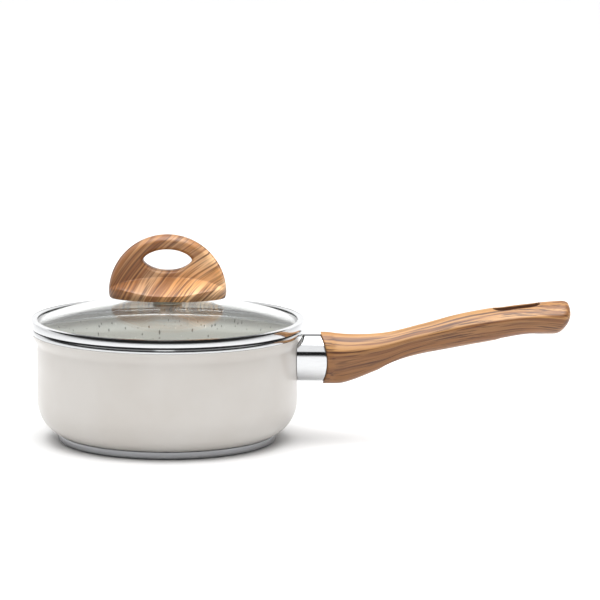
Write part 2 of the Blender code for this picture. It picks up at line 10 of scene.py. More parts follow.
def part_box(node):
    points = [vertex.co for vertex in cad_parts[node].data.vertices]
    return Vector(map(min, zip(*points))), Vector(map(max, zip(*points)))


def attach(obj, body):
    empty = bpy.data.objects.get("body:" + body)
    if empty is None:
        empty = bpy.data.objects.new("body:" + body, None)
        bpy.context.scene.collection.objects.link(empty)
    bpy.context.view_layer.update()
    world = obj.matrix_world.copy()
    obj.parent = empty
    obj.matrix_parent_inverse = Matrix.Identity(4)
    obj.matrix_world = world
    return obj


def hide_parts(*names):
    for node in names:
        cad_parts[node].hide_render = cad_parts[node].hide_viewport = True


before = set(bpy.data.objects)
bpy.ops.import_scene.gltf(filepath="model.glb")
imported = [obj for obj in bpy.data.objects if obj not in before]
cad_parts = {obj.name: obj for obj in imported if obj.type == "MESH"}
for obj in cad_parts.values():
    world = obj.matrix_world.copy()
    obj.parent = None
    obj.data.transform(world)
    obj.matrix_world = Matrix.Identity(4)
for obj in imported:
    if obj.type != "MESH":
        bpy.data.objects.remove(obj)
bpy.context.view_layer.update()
print("frame loaded:", len(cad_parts), "nodes")

mm = 0.001
touch = 0.3 * mm  # clearance between pieces that touch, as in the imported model
axisHole = 0.3 * mm  # turned shapes start this far from the axis, and a fan of faces closes them
hair = 0.02 * mm  # added where heights are compared


def addObject(name, data):
    made = bpy.data.objects.new(name, data)
    bpy.context.scene.collection.objects.link(made)
    return made


def skin(name, grid, joined=False, sharp=40.0, zones=None):
    # rows run along the piece and columns round it, and neighbours become quads. The rows either
    # join in a ring, or each end closes with a fan round the middle of its last row. Zones give
    # each row of quads its material's number
    rows, columns = grid.shape[:2]
    points = grid.reshape(-1, 3)
    i = np.arange(rows if joined else rows - 1)[:, None]
    j = np.arange(columns)[None, :]
    nextI, nextJ = (i + 1) % rows, (j + 1) % columns
    quads = np.stack(
        [i * columns + j, i * columns + nextJ, nextI * columns + nextJ, nextI * columns + j], -1
    )
    faces = quads.reshape(-1, 4).tolist()
    if not joined:
        points = np.vstack([points, grid[0].mean(0), grid[-1].mean(0)])
        k = np.arange(columns)
        nextK = (k + 1) % columns
        tip = np.full(columns, rows * columns)
        base = (rows - 1) * columns
        faces += np.stack([tip, nextK, k], 1).tolist()
        faces += np.stack([tip + 1, base + k, base + nextK], 1).tolist()
    mesh = bpy.data.meshes.new(name)
    mesh.from_pydata(points.tolist(), [], faces)
    mesh.validate()
    mesh.calc_loop_triangles()
    corners = np.empty(len(mesh.loop_triangles) * 3, np.int32)
    mesh.loop_triangles.foreach_get("vertices", corners)
    a, b, c = points[corners.reshape(-1, 3)].transpose(1, 0, 2)
    if np.einsum("ij,ij->i", a, np.cross(b, c)).sum() < 0:  # six times the volume
        mesh.flip_normals()
    mesh.shade_smooth()
    mesh.set_sharp_from_angle(angle=math.radians(sharp))
    if zones is not None:
        marks = np.repeat(zones[: len(i)], columns)
        if not joined:
            marks = np.concatenate([marks, np.full(columns, zones[0]), np.full(columns, zones[-1])])
        mesh.polygons.foreach_set("material_index", marks.astype(np.int32))
    return addObject(name, mesh)


def rounded(corners, steps=8, closed=False):
    # an outline with each corner (r, z, radius) turned into an arc that touches both sides
    places = np.array([corner[:2] for corner in corners], float)
    count = len(corners)
    share = np.linspace(0, 1, steps + 1)[:, None]
    outline = []
    for k, (r, z, radius) in enumerate(corners):
        here = places[k]
        if radius <= 0 or (not closed and k in (0, count - 1)):
            outline.append(here)
            continue
        back, ahead = places[k - 1] - here, places[(k + 1) % count] - here
        lengths = np.linalg.norm(back), np.linalg.norm(ahead)
        back, ahead = back / lengths[0], ahead / lengths[1]
        half = math.acos(np.clip(back @ ahead, -1, 1)) / 2
        reach = min(radius / math.tan(half), 0.49 * min(lengths))
        bisector = (back + ahead) / np.linalg.norm(back + ahead)
        centre = here + bisector * reach / math.cos(half)
        start, end = here + back * reach - centre, here + ahead * reach - centre
        turn = math.pi - 2 * half
        arc = np.sin((1 - share) * turn) * start + np.sin(share * turn) * end
        outline += list(centre + arc / math.sin(turn))
    return np.array(outline)


def turned(name, profile, around=192, joined=False, sharp=40.0, zones=None):
    # the profile (r, z) swept round the Z axis
    angle = np.linspace(0, math.tau, around, endpoint=False)
    r, z = profile[:, 0:1], profile[:, 1:2]
    grid = np.stack([r * np.cos(angle), r * np.sin(angle), z + 0 * angle], -1)
    return skin(name, grid, joined, sharp, zones)


def turnedCutter(name, radius, low, high):
    # a plain round cutter on the Z axis
    return turned(name, np.array([[axisHole, low], [radius, low], [radius, high],
                                  [axisHole, high]]), 48)


def carve(piece, cutters, sharp):
    # cuts the closed cutters out of the piece for good, and removes them
    for cutter in cutters:
        bore = piece.modifiers.new(cutter.name, "BOOLEAN")
        bore.operation = "DIFFERENCE"
        bore.solver = "EXACT"
        bore.object = cutter
    bpy.context.view_layer.update()
    graph = bpy.context.evaluated_depsgraph_get()
    cutMesh = bpy.data.meshes.new_from_object(piece.evaluated_get(graph))
    cutMesh.name = piece.name
    piece.modifiers.clear()
    piece.data = cutMesh
    cutMesh.shade_smooth()
    cutMesh.set_sharp_from_angle(angle=math.radians(sharp))
    for cutter in cutters:
        bpy.data.objects.remove(cutter)


def pointsOf(piece):
    places = np.empty(len(piece.data.vertices) * 3, np.float32)
    piece.data.vertices.foreach_get("co", places)
    return places.reshape(-1, 3).astype(float)


def storeGrain(piece, along, through, across):
    # the place of each point in the wood that its finish imitates
    layer = piece.data.attributes.new("grain", "FLOAT_VECTOR", "POINT")
    values = np.stack([along, through, across], 1)
    layer.data.foreach_set("vector", values.astype(np.float32).ravel())


def place(piece, body, node, materials):
    # hands a finished piece to its body, the node it stands for, its finishes
    slots = piece.data.materials
    while len(slots) < len(materials):
        slots.append(None)
    for k, finish in enumerate(materials):  # clearing the list would lose the faces' numbers
        slots[k] = finish
    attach(piece, body)
    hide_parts(node)


def smoothStep(low, high, x):
    # nothing below low, one above high, and a soft S between
    t = np.clip((x - low) / (high - low), 0, 1)
    return t * t * (3 - 2 * t)


def hexColour(code):
    # an sRGB hex value as linear light
    parts = [int(code[k:k + 2], 16) / 255 for k in (1, 3, 5)]
    linear = [p / 12.92 if p <= 0.04045 else ((p + 0.055) / 1.055) ** 2.4 for p in parts]
    return (*linear, 1.0)


def addNode(tree, kind, sockets=None, output=None, **settings):
    # one shader node with its settings. Each socket gets a link where its value is another
    # node's output, and the value itself otherwise. Returns the node, or its output by name
    node = tree.nodes.new("ShaderNode" + kind)
    for key, value in settings.items():
        setattr(node, key, value)
    for key, value in (sockets or {}).items():
        if isinstance(value, bpy.types.NodeSocket):
            tree.links.new(value, node.inputs[key])
        else:
            node.inputs[key].default_value = value
    return node if output is None else node.outputs[output]


def newFinish(name, grain="", **values):
    # a material with one Principled shader, and the place on the piece that its patterns follow
    made = bpy.data.materials.new(name)
    made.use_nodes = True
    tree = made.node_tree
    shader = tree.nodes["Principled BSDF"]
    for key, value in values.items():
        shader.inputs[key.replace("_", " ")].default_value = value
    if grain:
        place3d = addNode(tree, "Attribute", None, "Vector", attribute_name=grain)
    else:
        place3d = addNode(tree, "TexCoord", None, "Object")
    return made, tree, shader, place3d


# a Mix node set to colour keeps its two colours at these inputs and its result at this output
colourA, colourB, mixed = 6, 7, 2


def dress(tree, shader, look, marks, height, wear, tones=None):
    # the marks mix two tones, the height gives the relief, and the wear the roughness
    first, second = tones or (hexColour(look["dark"]), hexColour(look["light"]))
    colour = addNode(tree, "Mix", {"Factor": marks, colourA: first, colourB: second}, mixed,
                     data_type="RGBA")
    tree.links.new(colour, shader.inputs["Base Color"])
    if "depth" in look:
        relief = addNode(tree, "Bump", {"Height": height, "Distance": look["depth"],
                                        "Strength": look["strength"]}, "Normal")
        tree.links.new(relief, shader.inputs["Normal"])
    low, high = look["rough"]
    gloss = addNode(tree, "MapRange", {"Value": wear, "To Min": low, "To Max": high}, "Result")
    tree.links.new(gloss, shader.inputs["Roughness"])


def wearOf(tree, place3d, look, marks):
    # the marks themselves, or broader smears where the look has them
    if "smear" not in look:
        return marks
    return addNode(tree, "TexNoise",
                   {"Vector": place3d, "Scale": 1 / look["smear"], "Detail": 3.0}, "Fac")


def patchyFinish(name, look, **values):
    # one noise, drawn out where the look says so, sets the tones and the relief
    made, tree, shader, place3d = newFinish(name, **values)
    drawn = addNode(tree, "Mapping",
                    {"Vector": place3d, "Scale": (look.get("draw", 1), 1, 1)}, "Vector")
    marks = addNode(tree, "TexNoise",
                    {"Vector": drawn, "Scale": 1 / look["size"], "Detail": 3.0}, "Fac")
    dress(tree, shader, look, marks, marks, wearOf(tree, place3d, look, marks))
    return made


def ringedMetal(name, look):
    # noise over the height, and over the distance from the axis where the rings lie flat too
    made, tree, shader, place3d = newFinish(name, Metallic=1.0)
    height = addNode(tree, "SeparateXYZ", {"Vector": place3d}, "Z")
    flat = addNode(tree, "VectorMath", {0: place3d, 1: look["flat"]},
                   "Vector", operation="MULTIPLY")
    radius = addNode(tree, "VectorMath", {0: flat}, "Value", operation="LENGTH")
    ringPlace = addNode(tree, "CombineXYZ", {"X": radius, "Z": height}, "Vector")
    rings = addNode(tree, "TexNoise",
                    {"Vector": ringPlace, "Scale": 1 / look["pitch"], "Detail": look["detail"],
                     "Roughness": look["jitter"]}, "Fac")
    dress(tree, shader, look, rings, rings, wearOf(tree, place3d, look, rings))
    return made


def creamEnamel():
    # silicone-polyester coat, sprayed on and baked: a satin cream with a faint orange peel,
    # whose highlights stay broad and soft
    coat = {"light": "#c4c0bb", "dark": "#bfbab4", "drift": 40 * mm, "peel": 2.2 * mm,
            "depth": 0.02 * mm, "strength": 0.35, "rub": 9 * mm, "rough": (0.24, 0.38)}
    made, tree, shader, place3d = newFinish("bakedCreamEnamel", Coat_Weight=0.2,
                                            Coat_Roughness=0.15)
    clouds = {}
    for part, detail in (("drift", 3.0), ("peel", 1.0), ("rub", 4.0)):
        clouds[part] = addNode(tree, "TexNoise", {"Vector": place3d, "Scale": 1 / coat[part],
                                                  "Detail": detail}, "Fac")
    tone = addNode(tree, "MapRange",
                   {"Value": clouds["drift"], "From Min": 0.35, "From Max": 0.65}, "Result")
    dress(tree, shader, coat, tone, clouds["peel"], clouds["rub"])
    return made


def speckledNonstick():
    # PTFE sprayed over a stone-effect base and baked: pale grey, satin, with fine dark and
    # light drops that ran a little downwards
    fleck = {"base": "#cfccc8", "dark": "#6a655e", "light": "#e6e4e0", "spacing": 2.1 * mm,
             "run": 0.4, "size": 0.30, "darkShare": 0.75, "grit": 0.8 * mm,
             "depth": 0.02 * mm, "strength": 0.5, "rough": (0.36, 0.5)}
    made, tree, shader, place3d = newFinish("speckledNonstickCoat")
    drawn = addNode(tree, "Mapping", {"Vector": place3d, "Scale": (1, 1, fleck["run"])}, "Vector")
    cells = addNode(tree, "TexVoronoi",
                    {"Vector": drawn, "Scale": 1 / fleck["spacing"]}, feature="F1").outputs
    chance = addNode(tree, "SeparateColor", {"Color": cells["Color"]}).outputs
    reach = addNode(tree, "Math", {0: chance["Red"], 1: fleck["size"]},
                    "Value", operation="MULTIPLY")
    inside = addNode(tree, "Math", {0: cells["Distance"], 1: reach},
                     "Value", operation="LESS_THAN")
    isDark = addNode(tree, "Math", {0: chance["Green"], 1: fleck["darkShare"]},
                     "Value", operation="LESS_THAN")
    drops = addNode(tree, "Mix", {"Factor": isDark, colourA: hexColour(fleck["light"]),
                                  colourB: hexColour(fleck["dark"])}, mixed, data_type="RGBA")
    grit = addNode(tree, "TexNoise",
                   {"Vector": place3d, "Scale": 1 / fleck["grit"], "Detail": 3.0}, "Fac")
    dress(tree, shader, fleck, inside, grit, grit, (hexColour(fleck["base"]), drops))
    return made


def temperedGlass():
    # soda-lime glass pressed to a dome and quenched: clear, with a trace of green and a film
    # of wipe marks. A Light Path mix stands in for the light that passes through it
    glass = {"light": "#fcfdfc", "dark": "#f8fbf9", "passes": "#f8fbf9", "cast": 60 * mm,
             "film": 7 * mm, "rough": (0.0, 0.03)}
    made, tree, shader, place3d = newFinish("temperedSodaLimeGlass", IOR=1.5,
                                            Transmission_Weight=1.0)
    cast = addNode(tree, "TexNoise", {"Vector": place3d, "Scale": 1 / glass["cast"]}, "Fac")
    film = addNode(tree, "TexNoise",
                   {"Vector": place3d, "Scale": 1 / glass["film"], "Detail": 4.0}, "Fac")
    dress(tree, shader, glass, cast, None, film)
    path = addNode(tree, "LightPath").outputs
    passing = addNode(tree, "Math", {0: path["Is Shadow Ray"], 1: path["Is Diffuse Ray"]},
                      "Value", operation="MAXIMUM")
    clear = addNode(tree, "BsdfTransparent", {"Color": hexColour(glass["passes"])}, "BSDF")
    whole = addNode(tree, "MixShader", {0: passing, 1: shader.outputs[0], 2: clear}, "Shader")
    tree.links.new(whole, tree.nodes["Material Output"].inputs["Surface"])
    return made


def woodEffect(name, look):
    # phenolic moulding with an olive-wood print under satin lacquer: pale tan, brown growth
    # bands and dark hairlines. It reads the piece's own grain attribute, which runs along the
    # grain in X, through the piece in Y and across the grain in Z
    made, tree, shader, grain = newFinish(name, "grain", Coat_Weight=0.1, Coat_Roughness=0.25)
    slow = addNode(tree, "Mapping", {"Vector": grain, "Scale": (0.35, 0.5, 1.0)}, "Vector")
    swirl = addNode(tree, "TexNoise",
                    {"Vector": slow, "Scale": 1 / look["swirlSize"], "Detail": 2.0}, "Color")
    push = addNode(tree, "VectorMath", {0: swirl, 1: (0.5, 0.5, 0.5)},
                   "Vector", operation="SUBTRACT")
    bent = addNode(tree, "VectorMath", {0: push, 1: (0, 0, look["swirl"]), 2: grain},
                   "Vector", operation="MULTIPLY_ADD")
    layers = {}
    shares = {}
    # each layer: where its noise starts and ends, and the most that it covers
    for layer, low, high, most in (("broad", 0.36, 0.62, 1.0), ("band", 0.48, 0.60, 0.8),
                                   ("line", 0.52, 0.63, look["lineDepth"]),
                                   ("pore", 0.55, 0.75, 0.35)):
        along, across = look[layer]
        drawn = addNode(tree, "Mapping",
                        {"Vector": bent, "Scale": (1 / along, look["through"] / across, 1 / across),
                         "Location": look["shift"]}, "Vector")
        layers[layer] = addNode(tree, "TexNoise", {"Vector": drawn, "Scale": 1.0,
                                                   "Detail": 2.5, "Roughness": 0.55}, "Fac")
        shares[layer] = low, high, most
    # the heart shade mixes in the deep tone by the across value: painted shade on the grip's lower
    # side, and on the knob partly ring tone and partly painted shade
    layers["heartShade"] = addNode(tree, "SeparateXYZ", {"Vector": grain}, "Z")
    shares["heartShade"] = (*look["heartShade"], look["heartShadeDepth"])
    for layer, (low, high, most) in shares.items():
        shares[layer] = addNode(tree, "MapRange", {"Value": layers[layer], "From Min": low,
                                                   "From Max": high, "To Max": most},
                                "Result", interpolation_type="SMOOTHSTEP")
    colour = hexColour(look["light"])
    for layer, tone in (("broad", "mid"), ("heartShade", "deep"), ("band", "deep"), ("line", "dark")):
        colour = addNode(tree, "Mix", {"Factor": shares[layer], colourA: colour,
                                       colourB: hexColour(look[tone])},
                         mixed, data_type="RGBA")
    dress(tree, shader, {"depth": 0.012 * mm, "strength": 0.25, "rough": (0.36, 0.5)},
          shares["pore"], layers["pore"], layers["broad"], (colour, hexColour(look["dark"])))
    return made


# finishes of one noise: two tones, the size of the marks, the roughness between them, and where
# the real one has them the depth of its relief, the draw of its marks along X and broad smears
polishedSteel = patchyFinish("mirrorPolishedStainless", {  # buffed: sharp, with hairline wipes
    "dark": "#c6c7c9", "light": "#d6d7d8", "size": 0.6 * mm, "draw": 0.08, "depth": 0.003 * mm,
    "strength": 0.2, "smear": 14 * mm, "rough": (0.04, 0.11)}, Metallic=1.0)
gapShadeSteel = patchyFinish("paintedGapShadeSteel", {  # near black: painted shade of the gap between the lid's band and the pan's lip
    "dark": "#141414", "light": "#262524", "size": 4 * mm, "rough": (0.45, 0.7)}, Metallic=1.0)
screwSteel = patchyFinish("zincPlatedScrewSteel", {  # turned and plated: soft grey sheen
    "dark": "#9a9ca1", "light": "#c3c5c9", "size": 1.2 * mm, "depth": 0.01 * mm,
    "strength": 0.3, "rough": (0.22, 0.36)}, Metallic=1.0)
rolledAluminium = patchyFinish("rolledAluminium", {  # rolled and left: pale and satin
    "dark": "#b3b5b8", "light": "#cfd1d3", "size": 2 * mm, "depth": 0.01 * mm,
    "strength": 0.3, "rough": (0.34, 0.48)}, Metallic=1.0)
turnedBrass = patchyFinish("turnedBrass", {  # cut on a lathe: yellow, faintly grained
    "dark": "#b08a45", "light": "#cfa964", "size": 1 * mm, "depth": 0.01 * mm,
    "strength": 0.3, "rough": (0.24, 0.38)}, Metallic=1.0)
siliconeRubber = patchyFinish("mouldedSilicone", {  # white silicone: matt and a little cloudy
    "dark": "#cfd0cb", "light": "#e2e2de", "size": 3 * mm, "rough": (0.5, 0.7)},
    Subsurface_Weight=0.15)
barePhenolicSlotShade = patchyFinish("bareMouldedPhenolicSlotShade", {  # no print: brown, matt, streaked by filler, and dark as painted shade inside the slot
    "dark": "#3f210e", "light": "#6b3f1f", "size": 1.4 * mm, "draw": 0.1, "rough": (0.5, 0.65)})
# ringed metals: how the rings follow X and Y, their pitch and how broken they are
turnedAluminium = ringedMetal("latheTurnedAluminium", {  # faced and bare: streaked highlights
    "dark": "#b4b6b8", "light": "#d9dadb", "flat": (0, 0, 0), "pitch": 0.35 * mm, "detail": 2.0,
    "jitter": 0.5, "depth": 0.02 * mm, "strength": 0.3, "smear": 3 * mm, "rough": (0.06, 0.16)})
satinSteel = ringedMetal("ringBrushedStainless", {  # rubbed in rings by a belt: a soft grey fan
    "dark": "#8c8d90", "light": "#b4b5b8", "flat": (1, 1, 0), "pitch": 0.5 * mm, "detail": 4.0,
    "jitter": 0.7, "depth": 0.015 * mm, "strength": 0.4, "rough": (0.26, 0.42)})
print("finishes made")


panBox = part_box("pan_body")
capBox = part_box("base_cap")
panSizes = {
    "flareOut": 3.2 * mm, "flareHeight": 7.8 * mm,
    "lipHeight": 3.0 * mm, "lipWall": 2.9 * mm, "lipGroove": 0.25 * mm, "lipDrop": 0.4 * mm,
    "wall": 2.6 * mm, "floor": 3.5 * mm, "mouthStep": 5.4 * mm, "innerFlare": 9.0 * mm,
    "crown": 6.2 * mm, "crownTop": 19, "crownFoot": -4, "mouthRound": 0.7 * mm,
    "topEdge": 0.1 * mm, "gapShadeFrom": 1.2 * mm, "corner": 22.0 * mm, "innerCorner": 18.0 * mm,
    "footEdge": 0.6 * mm,
}
lipRadius, panTop, panFoot = panBox[1].x, panBox[1].z, panBox[0].z
wallRadius = lipRadius - panSizes["flareOut"]
baseRadius = capBox[1].x


def arcPoints(centreR, centreZ, radius, start, end, steps):
    # part of a circle (r, z), its angles in degrees
    angle = np.radians(np.linspace(start, end, steps + 1))
    return np.stack([centreR + radius * np.cos(angle), centreZ + radius * np.sin(angle)], 1)


def flareLine(wall, lip, top, height, steps=18):
    # half a cosine wave from the lip's radius at the top down to the wall's radius
    share = np.linspace(0, 1, steps + 1)
    r = wall + (lip - wall) * (0.5 + 0.5 * np.cos(np.pi * share))
    return np.stack([r, top - height * share], 1)


def outerRadius(z):
    # the pan's outer radius at a height on its wall or flare
    share = np.clip((panTop - panSizes["lipHeight"] - z) / panSizes["flareHeight"], 0, 1)
    return wallRadius + panSizes["flareOut"] * (0.5 + 0.5 * np.cos(np.pi * share))


def makePan():
    # a bowl turned in one go: up the inside, over the bare lip and down the coated outside
    s = panSizes
    lipFoot = panTop - s["lipHeight"]
    floorTop = panFoot + s["floor"]
    innerWall = wallRadius - s["wall"]
    mouth = lipRadius - s["lipWall"]
    across = baseRadius - (wallRadius - s["corner"])
    cornerZ = panFoot + math.sqrt(s["corner"] ** 2 - across ** 2)
    lastAngle = -math.degrees(math.acos(across / s["corner"]))
    inside = np.vstack([
        [[axisHole, floorTop]],
        arcPoints(innerWall - s["innerCorner"], floorTop + s["innerCorner"],
                  s["innerCorner"], -90, 0, 20),
        flareLine(innerWall, mouth, panTop - s["mouthStep"], s["innerFlare"])[::-1],
    ])
    crownZ = panTop - s["lipDrop"] - s["crown"] * math.sin(math.radians(s["crownTop"]))
    crown = arcPoints(lipRadius - s["crown"], crownZ, s["crown"], s["crownTop"], s["crownFoot"], 10)
    lip = np.vstack([
        rounded([(mouth, panTop - s["mouthStep"], 0), (mouth, panTop, s["mouthRound"]),
                 (crown[0, 0] - s["topEdge"], panTop, 0)], 6)[1:],
        crown, [[lipRadius - s["lipGroove"], lipFoot]],
    ])
    flare = flareLine(wallRadius, lipRadius, lipFoot, s["flareHeight"])
    outside = np.vstack([
        flare, arcPoints(wallRadius - s["corner"], cornerZ, s["corner"], 0, lastAngle, 28),
        [[baseRadius - s["footEdge"], panFoot], [axisHole, panFoot]],
    ])
    profile = np.vstack([inside, lip, outside])
    zones = np.repeat([2, 1, 0], [len(inside), len(lip), len(outside)])
    # from this far out, the lip's top under the lid's band takes the near-black finish: painted shade
    # of the gap between them
    zones[(profile[:, 1] > crown[0, 1] + hair) & (profile[:, 0] > mouth + s["gapShadeFrom"])] = 3
    pan = turned("pan_bowl", profile, 256, zones=zones, sharp=30)
    place(pan, "pan", "pan_body",
          [creamEnamel(), turnedAluminium, speckledNonstick(), gapShadeSteel])


soleSizes = {
    "wall": 0.6 * mm, "edge": 1.2 * mm, "bend": 0.4 * mm, "lip": 0.15 * mm,
    "rings": (58 * mm, 40 * mm, 22 * mm), "groove": 0.25 * mm, "grooveRound": 0.2 * mm,
}


def makeSole():
    # the steel cap of the base: a shallow cup with three shallow turned grooves underneath
    s = soleSizes
    top, inner = capBox[1].z, baseRadius - s["wall"]
    corners = [(axisHole, s["wall"], 0), (inner, s["wall"], s["bend"]), (inner, top, s["lip"]),
               (baseRadius, top, s["lip"]), (baseRadius, 0, s["edge"])]
    for ring in s["rings"]:
        for side, rise in ((1, 0), (0, s["groove"]), (-1, 0)):
            corners.append((ring + side * 3 * s["groove"], rise, s["grooveRound"]))
    corners.append((axisHole, 0, 0))
    sole = turned("steel_sole", rounded(corners, 5), 256, sharp=30)
    place(sole, "pan", "base_cap", [satinSteel])


guardSizes = {
    "centre": (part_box("flame_guard")[0].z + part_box("flame_guard")[1].z) / 2,
    "halfHeight": 14.5 * mm, "halfWidth": 11.2 * mm, "steel": 0.8 * mm, "roll": 0.3 * mm,
    "top": 14.1 * mm, "middle": 18.0 * mm, "bottom": 15.5 * mm, "squareness": 0.87,
}


def guardOval(inset, count):
    # an oval (y, z): powers of the cosine and sine under one fill its corners out
    g = guardSizes
    angle = np.linspace(0, math.tau, count, endpoint=False)
    across, up = (np.sign(part) * np.abs(part) ** g["squareness"]
                  for part in (np.cos(angle), np.sin(angle)))
    return across * (g["halfWidth"] - inset), g["centre"] + up * (g["halfHeight"] - inset)


def guardEnd(z):
    # where the guard stops along X: a curve through its top, middle and bottom
    g = guardSizes
    up = (z - g["centre"]) / g["halfHeight"]
    lean = (g["top"] - g["bottom"]) / 2
    sink = g["middle"] - (g["top"] + g["bottom"]) / 2
    return wallRadius + g["middle"] + lean * up - sink * up ** 2


def makeGuard():
    # a sleeve: each row is an oval, placed between the pan's wall and the curved end
    g = guardSizes
    rows = []

    def addRow(inset, share, pull=0.0):
        y, z = guardOval(inset, 128)
        start = np.sqrt((outerRadius(z) + touch) ** 2 - y ** 2)
        end = guardEnd(z)
        rows.append(np.stack([start + (end - start) * share - pull, y, z], 1))

    for share in np.linspace(0, 1, 14):
        addRow(0, share, g["roll"] if share == 1 else 0)
    for turn in np.radians([20, 50, 90, 130, 160]):  # the rolled front edge
        addRow(g["steel"] / 2 * (1 - math.cos(turn)), 1, g["roll"] * (1 - math.sin(turn)))
    for share in np.linspace(1, 0, 14):
        addRow(g["steel"], share, g["roll"] if share == 1 else 0)
    guard = skin("polished_guard", np.array(rows), joined=True, sharp=50)
    place(guard, "pan", "flame_guard", [polishedSteel])


# heights of the handle's lines above the guard's centre, and half its width, in millimetres,
# against the distance from the pan's wall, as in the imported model
handleLines = {
    "top": [(15.2, 15.9), (35.2, 14.6), (55.2, 16.1), (75.2, 21.1), (100.2, 27.9),
            (132.2, 33.4), (162.2, 36.2)],
    "bottom": [(15.2, -15.9), (28.2, -15.3), (48.2, -7.7), (68.2, 1.0), (92.2, 6.3),
               (120.2, 11.8), (139.2, 15.5), (162.2, 16.1)],
    "halfWidth": [(15.2, 12.6), (35.2, 11.2), (60.2, 10.0), (90.2, 11.2), (125.2, 14.6),
                  (162.2, 15.2)],
}
handleSizes = {
    "shoulder": 1.4 * mm, "edge": 0.7 * mm, "spigotStart": 12.5 * mm, "firstRing": 24.2 * mm,
    "shapedEnd": 160.2 * mm, "endRound": 5.5 * mm,
    "endLean": 2.3 * mm, "endBow": 2.6 * mm, "narrowing": 0.45, "thinning": 0.25,
    "sideFullness": 0.86, "footFullness": 0.92, "ridge": 0.34, "capAngle": 52, "ridgeRound": 13,
    "slotStart": 119.2 * mm, "slotEnd": 148.2 * mm, "slotWidth": 14.0 * mm, "slotFillet": 0.8 * mm,
    "slotFootFillet": 0.5 * mm, "tipTurn": 3 * mm, "grainHalf": 10 * mm,
    "screwDrop": 2.4 * mm, "headSeat": 36.2 * mm, "headBore": 5.2 * mm, "screwBore": 2.8 * mm,
}


def smoothLine(points, x):
    # a cubic between each pair of points, its slopes set by their neighbours; x from the wall
    places = np.array(points, float) * mm
    px, pz = places[:, 0], places[:, 1]
    last = len(px) - 1
    k = np.arange(last + 1)
    slopes = (pz[np.minimum(k + 1, last)] - pz[np.maximum(k - 1, 0)]) / (
        px[np.minimum(k + 1, last)] - px[np.maximum(k - 1, 0)]
    )
    i = np.clip(np.searchsorted(px, x) - 1, 0, last - 1)
    span = px[i + 1] - px[i]
    t = (x - px[i]) / span
    rise = pz[i] * (2 * t ** 3 - 3 * t ** 2 + 1) + pz[i + 1] * (3 * t ** 2 - 2 * t ** 3)
    bend = slopes[i] * (t ** 3 - 2 * t ** 2 + t) + slopes[i + 1] * (t ** 3 - t ** 2)
    return rise + span * bend


def handleSection(count):
    # the grip's section, one unit to each side: a shallow arc on top, a ridge above the middle,
    # and an oval below. It is drawn sharp, spaced evenly, smoothed by a running mean, and spaced
    # again
    s = handleSizes
    cap = np.radians(np.linspace(s["capAngle"], -s["capAngle"], 200))
    most = math.radians(s["capAngle"])
    capY = np.sin(cap) / math.sin(most)
    capZ = s["ridge"] + (1 - s["ridge"]) * (np.cos(cap) - math.cos(most)) / (1 - math.cos(most))
    turn = np.linspace(0, np.pi, 400)[1:-1]
    lowY = -np.sign(np.cos(turn)) * np.abs(np.cos(turn)) ** s["sideFullness"]
    lowZ = s["ridge"] - (1 + s["ridge"]) * np.sin(turn) ** s["footFullness"]
    outline = np.stack([np.concatenate([capY, lowY]), np.concatenate([capZ, lowZ])], 1)
    even = evenly(outline, 720)
    window = s["ridgeRound"]
    soft = sum(np.roll(even, k, axis=0) for k in range(-window, window + 1)) / (2 * window + 1)
    soft = evenly(soft, count)
    y, z = soft[:, 0] / np.abs(soft[:, 0]).max(), soft[:, 1]
    return y, (z - z.min()) / (z.max() - z.min()) * 2 - 1


def evenly(outline, count):
    # a closed outline spaced evenly along its length
    closed = np.vstack([outline, outline[:1]])
    walked = np.concatenate([[0], np.cumsum(np.linalg.norm(np.diff(closed, axis=0), axis=1))])
    places = np.linspace(0, walked[-1], count, endpoint=False)
    return np.stack([np.interp(places, walked, closed[:, k]) for k in (0, 1)], 1)


def handleMiddle(along):
    top, bottom = smoothLine(handleLines["top"], along), smoothLine(handleLines["bottom"], along)
    return guardSizes["centre"] + (top + bottom) / 2, (top - bottom) / 2


def surfaceHeight(x, y, side):
    # height of the handle's upper (side 1) or lower (side -1) face over a point
    along = x - wallRadius
    centre, half = handleMiddle(along)
    unitY, unitZ = handleSection(720)
    keep = (unitZ > 0.4 if side > 0 else unitZ < -0.2) & (unitY >= 0)
    order = np.argsort(unitY[keep])
    width = smoothLine(handleLines["halfWidth"], along)
    reach = np.clip(np.abs(y) / width, 0, 1)
    return centre + half * np.interp(reach, unitY[keep][order], unitZ[keep][order])


def slotCutter():
    # a round-ended slot whose section swells to a quarter round where it meets each face
    s = handleSizes
    radius = s["slotWidth"] / 2
    turn = np.linspace(-90, 90, 40)
    angle = np.radians(np.concatenate([turn, turn + 180]))
    centre = wallRadius + np.where(
        np.arange(80) < 40, s["slotEnd"] - radius, s["slotStart"] + radius
    )
    rows = []

    def addRow(offset, side, depth):
        x = centre + (radius + offset) * np.cos(angle)
        y = (radius + offset) * np.sin(angle)
        rows.append(np.stack([x, y, surfaceHeight(x, y, side) - side * depth], 1))

    for side, fillet in ((-1, s["slotFootFillet"]), (1, s["slotFillet"])):
        flare = [(1.25 * fillet, -6 * mm), (1.1 * fillet, -0.5 * mm)]
        flare += [(fillet * (1 - math.cos(a)), fillet * (1 - math.sin(a)))
                  for a in np.radians([82, 70, 58, 46, 34, 22, 10, 0])]
        for offset, depth in flare if side < 0 else flare[::-1]:
            addRow(offset, side, depth)
    zones = np.zeros(len(rows), int)
    zones[len(rows) // 2 - 1] = 1  # the straight wall between the two flares, which takes the dark bare finish: partly unprinted phenolic, partly painted shade in the slot
    return skin("slot_cutter", np.array(rows), zones=zones)


def rodAlongX(name, radius, start, end, z):
    # a plain round cutter along X
    angle = np.linspace(0, math.tau, 48, endpoint=False)
    y, z = radius * np.cos(angle), z + radius * np.sin(angle)
    return skin(name, np.array([np.stack([x + 0 * angle, y, z], 1) for x in (start, end)]))


